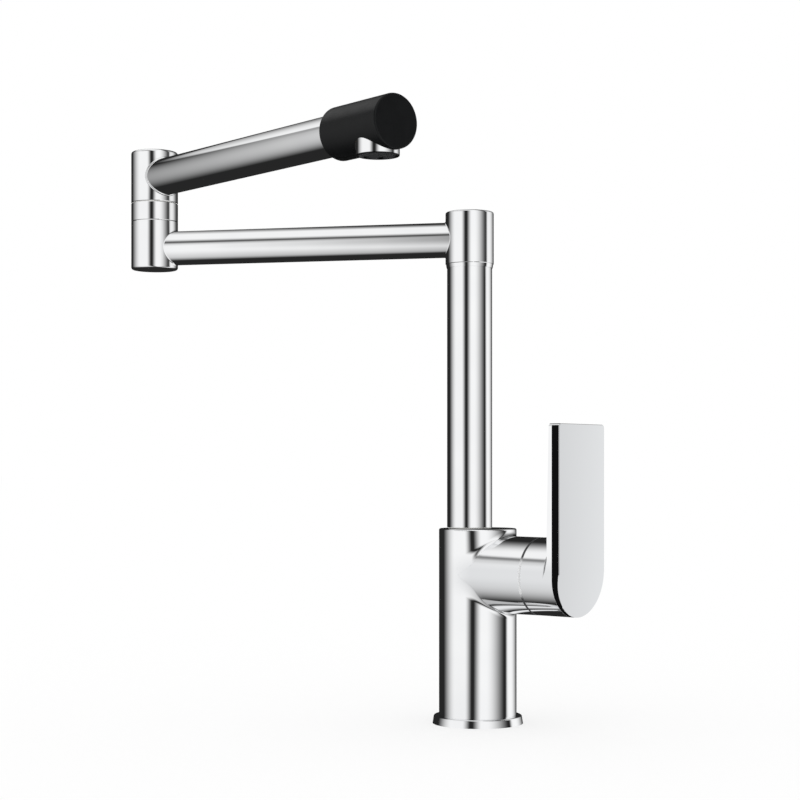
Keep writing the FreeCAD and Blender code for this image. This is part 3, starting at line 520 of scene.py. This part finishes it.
def dress(slot, material):
    """Gives every CAD node of a material slot its finish."""
    nodes = [row["node"] for row in frame["record"]["subparts"] if row["material_slot"] == slot]
    if not nodes:
        raise RuntimeError("no node has the slot " + slot)
    for name in nodes:
        frame["nodes"][name].material_slots[0].material = material


class FAUCET_OT_chrome(bpy.types.Operator):
    """Give the castings, tubes and fittings their polished plating"""

    bl_idname = "faucet.chrome"
    bl_label = "Chrome plating"

    def execute(self, context):
        finishes = context.scene.faucet_finishes
        height = context.scene.faucet_blend.branch_height
        dress("chrome_body", column_finish("polished_column", finishes, height))
        dress("chrome_handle", handle_finish("polished_handle", finishes, height))
        dress("chrome_tube", chrome_finish("polished_tube", finishes, FITTING_WAVES))
        dress("chrome_fitting", chrome_finish("polished_fitting", finishes, FITTING_WAVES))
        own_finishes = {
            "lower_arm": lower_arm_finish("polished_arm", finishes),
            "bonnet_dome": dome_finish("satin_dome", finishes, height),
            "nozzle_collar": outlet_finish("polished_outlet", finishes),
        }
        for name, material in own_finishes.items():
            frame["nodes"][name].material_slots[0].material = material
        return {"FINISHED"}


class FAUCET_OT_black_mouldings(bpy.types.Operator):
    """Give the head, the handle's strip and the dark inserts their moulded plastic"""

    bl_idname = "faucet.black_mouldings"
    bl_label = "Black mouldings"

    def execute(self, context):
        finishes = context.scene.faucet_finishes
        dress("black_head", plastic_finish(
            "satin_black", finishes.head_black, roughness=0.34, grain=0.10, specular=0.18))
        dress("black_trim", plastic_finish(
            "strip_black", finishes.strip_black, roughness=0.5, grain=0.10, specular=0.05))
        dress("dark_plastic", plastic_finish(
            "insert_grey", finishes.insert_grey, roughness=0.5, grain=0.15, specular=0.4))
        return {"FINISHED"}


class FAUCET_OT_inner_works(bpy.types.Operator):
    """Give the cartridge, screws, spigots and seals their finishes"""

    bl_idname = "faucet.inner_works"
    bl_label = "Inner works"

    def execute(self, context):
        finishes = context.scene.faucet_finishes
        dress("white_plastic", plastic_finish(
            "white_acetal", finishes.white_plastic, roughness=0.45, grain=0.05, specular=0.4))
        dress("ceramic", ceramic_finish("lapped_ceramic", finishes.ceramic))
        dress("brass", turned_finish("turned_brass", finishes.brass, roughness=0.28))
        dress("steel", turned_finish("turned_steel", finishes.steel, roughness=0.3))
        dress("rubber", rubber_finish("black_rubber", finishes.rubber))
        return {"FINISHED"}


def finish_piece(name, shape, body, material):
    """Turns a bmesh into a piece that rides on a body."""
    bmesh.ops.recalc_face_normals(shape, faces=shape.faces)
    mesh = bpy.data.meshes.new(name)
    shape.to_mesh(mesh)
    shape.free()
    piece = bpy.data.objects.new(name, mesh)
    piece.data.materials.append(material)
    bpy.context.scene.collection.objects.link(piece)
    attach(piece, body)


def bridge_sections(shape, sections):
    """Smooth ring through closed sections, the last joined to the first; returns their vertices."""
    rows = [[shape.verts.new(point) for point in section] for section in sections]
    loops = [[shape.edges.new((row[k - 1], row[k])) for k in range(len(row))] for row in rows]
    for i, loop in enumerate(loops):
        bmesh.ops.bridge_loops(shape, edges=loops[i - 1] + loop)
    for face in shape.faces:
        face.smooth = True
    return rows


def turns_of(count):
    """Evenly spaced angles of one whole turn."""
    return [2 * math.pi * i / count for i in range(count)]


class FAUCET_OT_branch_blend(bpy.types.Operator):
    """Add the polished blend that runs the branch into the column"""

    bl_idname = "faucet.branch_blend"
    bl_label = "Branch blend"

    def execute(self, context):
        blend = context.scene.faucet_blend
        shape = bmesh.new()
        sections = [self.section(blend, turn) for turn in turns_of(blend.stations)]
        rows = bridge_sections(shape, sections)
        for i, row in enumerate(rows):
            for side in (0, blend.steps):
                shape.edges.get((row[side], rows[i - 1][side])).smooth = False
        material = bpy.data.materials["polished_column"]
        finish_piece("branch_blend", shape, "column", material)
        return {"FINISHED"}

    @staticmethod
    def section(blend, turn):
        """Section at a turn round the branch: the hollow arc, then a point inside the metal."""
        flank = math.sin(turn) ** (2 * blend.flank_power)
        radius = blend.crown_radius + (blend.flank_radius - blend.crown_radius) * flank
        column_reach = blend.column_radius + radius
        slope = (blend.end_radius - blend.root_radius) / blend.branch_length
        out = Vector((0, math.sin(turn), math.cos(turn)))
        branch_radius = blend.root_radius
        for repeat in range(BLEND_ROUNDS):
            across = (branch_radius + radius) * out.y
            along = math.sqrt(column_reach ** 2 - across ** 2)
            branch_radius = blend.root_radius + slope * along
        centre = Vector((along, 0, blend.branch_height)) + out * (branch_radius + radius)
        to_column = -Vector((centre.x, centre.y, 0)).normalized()
        to_branch = -out
        shares = [k / blend.steps for k in range(blend.steps + 1)]
        arc = [centre + to_column.slerp(to_branch, share) * radius for share in shares]
        inward = (to_column + to_branch).normalized()
        return arc + [arc[blend.steps // 2] + inward * blend.depth]


class FAUCET_OT_root_bead(bpy.types.Operator):
    """Add the polished bead where the upper arm leaves its knuckle"""

    bl_idname = "faucet.root_bead"
    bl_label = "Bead at the upper arm's root"

    def execute(self, context):
        bead = context.scene.faucet_bead
        along = Vector(JOINTS["head_turn"]["axis"])
        low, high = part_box("upper_arm")
        arm_radius = (high.z - low.z) / 2
        hinge = Vector(JOINTS["elbow_swivel"]["pos_m"])
        hinge.z = (low.z + high.z) / 2
        knuckle_low, knuckle_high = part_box("upper_knuckle")
        knuckle_radius = (knuckle_high.y - knuckle_low.y) / 2
        shape = bmesh.new()
        bridge_sections(shape, [
            self.section(bead, turn, hinge, along, arm_radius, knuckle_radius)
            for turn in turns_of(bead.stations)])
        material = bpy.data.materials["polished_fitting"]
        finish_piece("root_bead", shape, "spout_tip", material)
        return {"FINISHED"}

    @staticmethod
    def section(bead, turn, hinge, along, arm_radius, knuckle_radius):
        """Round section at a turn round the arm, on the line where tube and knuckle meet."""
        across = Vector((-along.y, along.x, 0))
        from_arm = across * math.sin(turn) + Vector((0, 0, math.cos(turn)))
        side = arm_radius * math.sin(turn)
        reach = math.sqrt(knuckle_radius ** 2 - side ** 2)
        centre = hinge + along * reach + from_arm * arm_radius
        from_knuckle = (along * reach + across * side).normalized()
        ahead = from_arm.cross(from_knuckle).normalized()
        out = (from_arm + from_knuckle).normalized()
        beside = ahead.cross(out)
        return [
            centre + (out * math.cos(angle) + beside * math.sin(angle)) * bead.radius
            for angle in turns_of(bead.steps)]


class FAUCET_OT_stream_web(bpy.types.Operator):
    """Add the web of fins and rings in the stream former's face"""

    bl_idname = "faucet.stream_web"
    bl_label = "Stream former's web"

    def execute(self, context):
        details = context.scene.faucet_details
        low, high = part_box("aerator_insert")
        centre = Vector(((low.x + high.x) / 2, (low.y + high.y) / 2, low.z))
        rim = (high.x - low.x) / 2 - WEB_RIM_GAP
        bottom = WEB_TOP - details.fin_height
        shape = bmesh.new()
        fin = bmesh.ops.create_cube(shape, size=1)["verts"]
        length = rim - WEB_HUB + 2 * WEB_OVERLAP
        size = (length, details.fin_thickness, details.fin_height)
        bmesh.ops.scale(shape, verts=fin, vec=size)
        middle = Vector((WEB_HUB - WEB_OVERLAP + length / 2, 0, WEB_TOP - details.fin_height / 2))
        bmesh.ops.translate(shape, verts=fin, vec=middle)
        bmesh.ops.spin(
            shape, geom=shape.faces[:] + shape.edges[:] + shape.verts[:],
            cent=(0, 0, 0), axis=(0, 0, 1),
            angle=2 * math.pi * (details.fin_count - 1) / details.fin_count,
            steps=details.fin_count - 1, use_duplicate=True)
        for i in range(details.ring_count):
            radius = WEB_HUB + (rim - WEB_HUB) * (i + 1) / (details.ring_count + 1)
            self.add_ring(shape, radius, details.fin_thickness, bottom, WEB_TOP)
        bmesh.ops.translate(shape, verts=shape.verts, vec=centre)
        material = bpy.data.materials["insert_grey"]
        finish_piece("stream_web", shape, "outlet_head", material)
        return {"FINISHED"}

    @staticmethod
    def add_ring(shape, radius, thickness, low, high):
        """Round wall by spinning its rectangular section."""
        inner = radius - thickness / 2
        outer = radius + thickness / 2
        corners = [(inner, 0, low), (outer, 0, low), (outer, 0, high), (inner, 0, high)]
        verts = [shape.verts.new(corner) for corner in corners]
        edges = [shape.edges.new((verts[i - 1], verts[i])) for i in range(len(verts))]
        bmesh.ops.spin(
            shape, geom=verts + edges, cent=(0, 0, 0), axis=(0, 0, 1),
            angle=2 * math.pi, steps=WEB_RING_STEPS, use_merge=True)


# Soft boxes of the studio tent, in degrees: the azimuth of the middle, half the width, and the
# lowest and highest elevation at full strength, with a fade outside each edge. Strength is the
# light inside, and lean the middle's change of azimuth for each degree of elevation.
SOFT_BOXES = {
    "left": dict(
        centre=-63.3, half=14.2, left_fade=49.4, right_fade=22.5,
        low=1.5, low_fade=115.6, high=56.2, high_fade=86.6, strength=0.99, lean=-0.08),
    "front": dict(
        centre=9.7, half=6.4, left_fade=27.2, right_fade=73.7,
        low=-42.7, low_fade=85.0, high=63.2, high_fade=134.5, strength=1.01, lean=-0.02),
    "rear": dict(
        centre=108.3, half=6.2, left_fade=14.0, right_fade=54.8,
        low=-79.3, low_fade=134.8, high=9.8, high_fade=71.9, strength=1.02, lean=-0.15),
    "back": dict(
        centre=117.5, half=10.8, left_fade=38.3, right_fade=48.0,
        low=21.5, low_fade=4.8, high=47.1, high_fade=83.1, strength=0.28, lean=0.14),
    "overhead": dict(
        centre=-79.4, half=34.8, left_fade=61.3, right_fade=100.0,
        low=40.4, low_fade=2.9, high=156.6, high_fade=1.8, strength=0.98, lean=0.15),
}
# Dark seams across the soft boxes, in the same terms. Strength is the share of light they take.
DARK_SEAMS = {
    "wide": dict(
        centre=-86.9, half=8.5, left_fade=45.0, right_fade=14.4,
        low=42.5, low_fade=18.7, high=37.0, high_fade=18.9, strength=1.02, lean=1.0),
    "narrow": dict(
        centre=-91.0, half=8.0, left_fade=12.0, right_fade=12.0,
        low=38.4, low_fade=6.5, high=38.4, high_fade=5.5, strength=0.66, lean=0.0),
}
DARKEST = 0.021  # light of the tent where it has no soft box
HALF_TURN = 180


def soft_box_group():
    """Node group for one soft box of the studio, as seen along a direction."""
    group = bpy.data.node_groups.new("soft_box", "ShaderNodeTree")
    sockets = [
        "Azimuth", "Elevation", "Centre", "Half", "Left fade", "Right fade",
        "Low", "Low fade", "High", "High fade", "Strength", "Lean"]
    for name in sockets:
        group.interface.new_socket(name, in_out="INPUT", socket_type="NodeSocketFloat")
    group.interface.new_socket("Light", in_out="OUTPUT", socket_type="NodeSocketFloat")
    source = group.nodes.new("NodeGroupInput").outputs
    result = group.nodes.new("NodeGroupOutput")

    def product(first, second):
        return math_node(group, "MULTIPLY", first, second)

    def less(first, second):
        return math_node(group, "SUBTRACT", first, second)

    def edge(value, start, end):
        node = add_node(group, "ShaderNodeMapRange", {"interpolation_type": "SMOOTHSTEP"})
        group.links.new(value, node.inputs["Value"])
        group.links.new(start, node.inputs["From Min"])
        group.links.new(end, node.inputs["From Max"])
        return node.outputs["Result"]

    upright = less(source["Azimuth"], product(source["Elevation"], source["Lean"]))
    offset = math_node(group, "WRAP", less(upright, source["Centre"]), HALF_TURN, -HALF_TURN)
    full = product(source["Half"], -1)
    left = edge(offset, less(full, source["Left fade"]), full)
    right = edge(product(offset, -1), less(full, source["Right fade"]), full)
    low = edge(source["Elevation"], less(source["Low"], source["Low fade"]), source["Low"])
    high_full = product(source["High"], -1)
    high = edge(product(source["Elevation"], -1), less(high_full, source["High fade"]), high_full)
    light = product(product(left, right), product(low, high))
    group.links.new(product(light, source["Strength"]), result.inputs["Light"])
    return group


def tent_material(turn, centre):
    """Inside of the studio tent: soft boxes with dark gaps, by the direction from its centre.

    Azimuths are degrees from the camera's direction, to the right, and elevations are degrees
    above the horizon."""
    material = bpy.data.materials.new("studio_tent")
    material.use_nodes = True
    material.cycles.emission_sampling = "NONE"
    tree = material.node_tree
    tree.nodes.clear()
    offset = vector_node(tree, "SUBTRACT", coordinates(tree), centre)
    direction = vector_node(tree, "NORMALIZE", offset)
    right_axis = (math.cos(turn), math.sin(turn), 0)
    camera_axis = (math.sin(turn), -math.cos(turn), 0)
    to_right = vector_node(tree, "DOT_PRODUCT", direction, right_axis)
    to_camera = vector_node(tree, "DOT_PRODUCT", direction, camera_axis)
    upwards = vector_node(tree, "DOT_PRODUCT", direction, (0, 0, 1))
    azimuth = math_node(tree, "DEGREES", math_node(tree, "ARCTAN2", to_right, to_camera))
    elevation = math_node(tree, "DEGREES", math_node(tree, "ARCSINE", upwards))
    group = soft_box_group()

    def soft_box(box):
        node = add_node(tree, "ShaderNodeGroup", {"node_tree": group})
        tree.links.new(azimuth, node.inputs["Azimuth"])
        tree.links.new(elevation, node.inputs["Elevation"])
        for name, value in box.items():
            node.inputs[name.replace("_", " ").capitalize()].default_value = value
        return node.outputs["Light"]

    lights = [soft_box(box) for box in SOFT_BOXES.values()]
    total = lights[0]
    for light in lights[1:]:
        total = math_node(tree, "MAXIMUM", total, light)
    for seam in DARK_SEAMS.values():
        shade = math_node(tree, "MULTIPLY", total, soft_box(seam))
        total = math_node(tree, "SUBTRACT", total, shade)
    emission = add_node(tree, "ShaderNodeEmission", Color=(1, 1, 1, 1))
    level = math_node(tree, "MAXIMUM", total, DARKEST)
    tree.links.new(level, emission.inputs["Strength"])
    output = add_node(tree, "ShaderNodeOutputMaterial")
    tree.links.new(emission.outputs["Emission"], output.inputs["Surface"])
    return material


class FAUCET_OT_stage(bpy.types.Operator):
    """Add the pale floor, the studio light and the camera"""

    bl_idname = "faucet.stage"
    bl_label = "Floor, light and camera"

    def execute(self, context):
        studio = context.scene.faucet_studio
        self.add_floor(context.scene, studio)
        self.add_tent(context.scene, studio)
        self.add_world(context.scene)
        self.add_camera(context.scene, studio)
        context.scene.view_settings.view_transform = "Standard"
        return {"FINISHED"}

    @staticmethod
    def add_floor(scene, studio):
        """Pale floor, part of it plain white to the camera, so that its shadow stays faint."""
        shape = bmesh.new()
        bmesh.ops.create_circle(
            shape, cap_ends=True, segments=FLOOR_SEGMENTS, radius=studio.floor_radius)
        mesh = bpy.data.meshes.new("floor")
        shape.to_mesh(mesh)
        shape.free()
        material, tree, shader = new_finish("pale_floor")
        shader.inputs["Base Color"].default_value = studio.floor_colour
        shader.inputs["Roughness"].default_value = 1.0
        shader.inputs["Specular IOR Level"].default_value = 0.0
        white = add_node(tree, "ShaderNodeEmission", Color=(1, 1, 1, 1), Strength=1.0)
        to_camera = add_node(tree, "ShaderNodeLightPath").outputs["Is Camera Ray"]
        mix = add_node(tree, "ShaderNodeMixShader")
        share = math_node(tree, "MULTIPLY", to_camera, FLOOR_GLOW)
        tree.links.new(share, mix.inputs["Fac"])
        tree.links.new(shader.outputs["BSDF"], mix.inputs[1])
        tree.links.new(white.outputs["Emission"], mix.inputs[2])
        tree.links.new(mix.outputs["Shader"], tree.nodes["Material Output"].inputs["Surface"])
        mesh.materials.append(material)
        floor = bpy.data.objects.new("floor", mesh)
        floor.visible_glossy = False
        scene.collection.objects.link(floor)

    @staticmethod
    def add_tent(scene, studio):
        """Tent that only reflections show, with the few pieces that show in reflections too."""
        shape = bmesh.new()
        bmesh.ops.create_icosphere(
            shape, subdivisions=TENT_SUBDIVISIONS, radius=studio.tent_radius)
        bmesh.ops.translate(shape, verts=shape.verts, vec=studio.tent_centre)
        bmesh.ops.reverse_faces(shape, faces=shape.faces)
        mesh = bpy.data.meshes.new("studio_tent")
        shape.to_mesh(mesh)
        shape.free()
        mesh.materials.append(tent_material(studio.camera_turn, studio.tent_centre))
        tent = bpy.data.objects.new("studio_tent", mesh)
        tent.visible_camera = False
        tent.visible_diffuse = False
        tent.visible_transmission = False
        tent.visible_shadow = False
        scene.collection.objects.link(tent)
        pieces = dict(frame["nodes"])
        for name in ("branch_blend", "root_bead", "stream_web"):
            pieces[name] = bpy.data.objects[name]
        for name, piece in pieces.items():
            piece.visible_glossy = name in SEEN_IN_GLOSS

    @staticmethod
    def add_world(scene):
        """Even white light at a plain level."""
        world = bpy.data.worlds.new("studio")
        world.use_nodes = True
        background = world.node_tree.nodes["Background"]
        background.inputs["Color"].default_value = (1, 1, 1, 1)
        background.inputs["Strength"].default_value = 1.0
        scene.world = world

    @staticmethod
    def add_camera(scene, studio):
        """Level camera with a raised lens."""
        data = bpy.data.cameras.new("camera")
        data.sensor_width = SENSOR_WIDTH
        data.lens = studio.lens
        data.shift_y = studio.rise
        data.clip_end = CLIP_END
        camera = bpy.data.objects.new("camera", data)
        camera.location = studio.camera_place
        camera.rotation_euler = (math.pi / 2, 0, studio.camera_turn)
        scene.collection.objects.link(camera)
        scene.camera = camera


class FAUCET_PT_panel(bpy.types.Panel):
    """Finishes and details of the folding faucet"""

    bl_idname = "FAUCET_PT_panel"
    bl_label = "Folding faucet"
    bl_space_type = "VIEW_3D"
    bl_region_type = "UI"
    bl_category = "Faucet"

    def draw(self, context):
        for group_name, group in GROUPS.items():
            box = self.layout.box()
            for name in group.__annotations__:
                box.prop(getattr(context.scene, group_name), name)
        for step in STEPS:
            self.layout.operator(step.bl_idname)


GROUPS = {
    "faucet_finishes": FaucetFinishes,
    "faucet_blend": FaucetBlend,
    "faucet_bead": FaucetBead,
    "faucet_details": FaucetDetails,
    "faucet_studio": FaucetStudio,
}
STEPS = (
    FAUCET_OT_chrome,
    FAUCET_OT_black_mouldings,
    FAUCET_OT_inner_works,
    FAUCET_OT_branch_blend,
    FAUCET_OT_root_bead,
    FAUCET_OT_stream_web,
    FAUCET_OT_stage,
)
CLASSES = tuple(GROUPS.values()) + STEPS + (FAUCET_PT_panel,)


def register():
    for cls in CLASSES:
        bpy.utils.register_class(cls)
    for name, group in GROUPS.items():
        setattr(bpy.types.Scene, name, bpy.props.PointerProperty(type=group))


def unregister():
    for name in GROUPS:
        delattr(bpy.types.Scene, name)
    for cls in reversed(CLASSES):
        bpy.utils.unregister_class(cls)


def main():
    register()
    bpy.ops.faucet.chrome()
    bpy.ops.faucet.black_mouldings()
    bpy.ops.faucet.inner_works()
    bpy.ops.faucet.branch_blend()
    bpy.ops.faucet.root_bead()
    bpy.ops.faucet.stream_web()
    bpy.ops.faucet.stage()


if __name__ == "__main__":
    main()
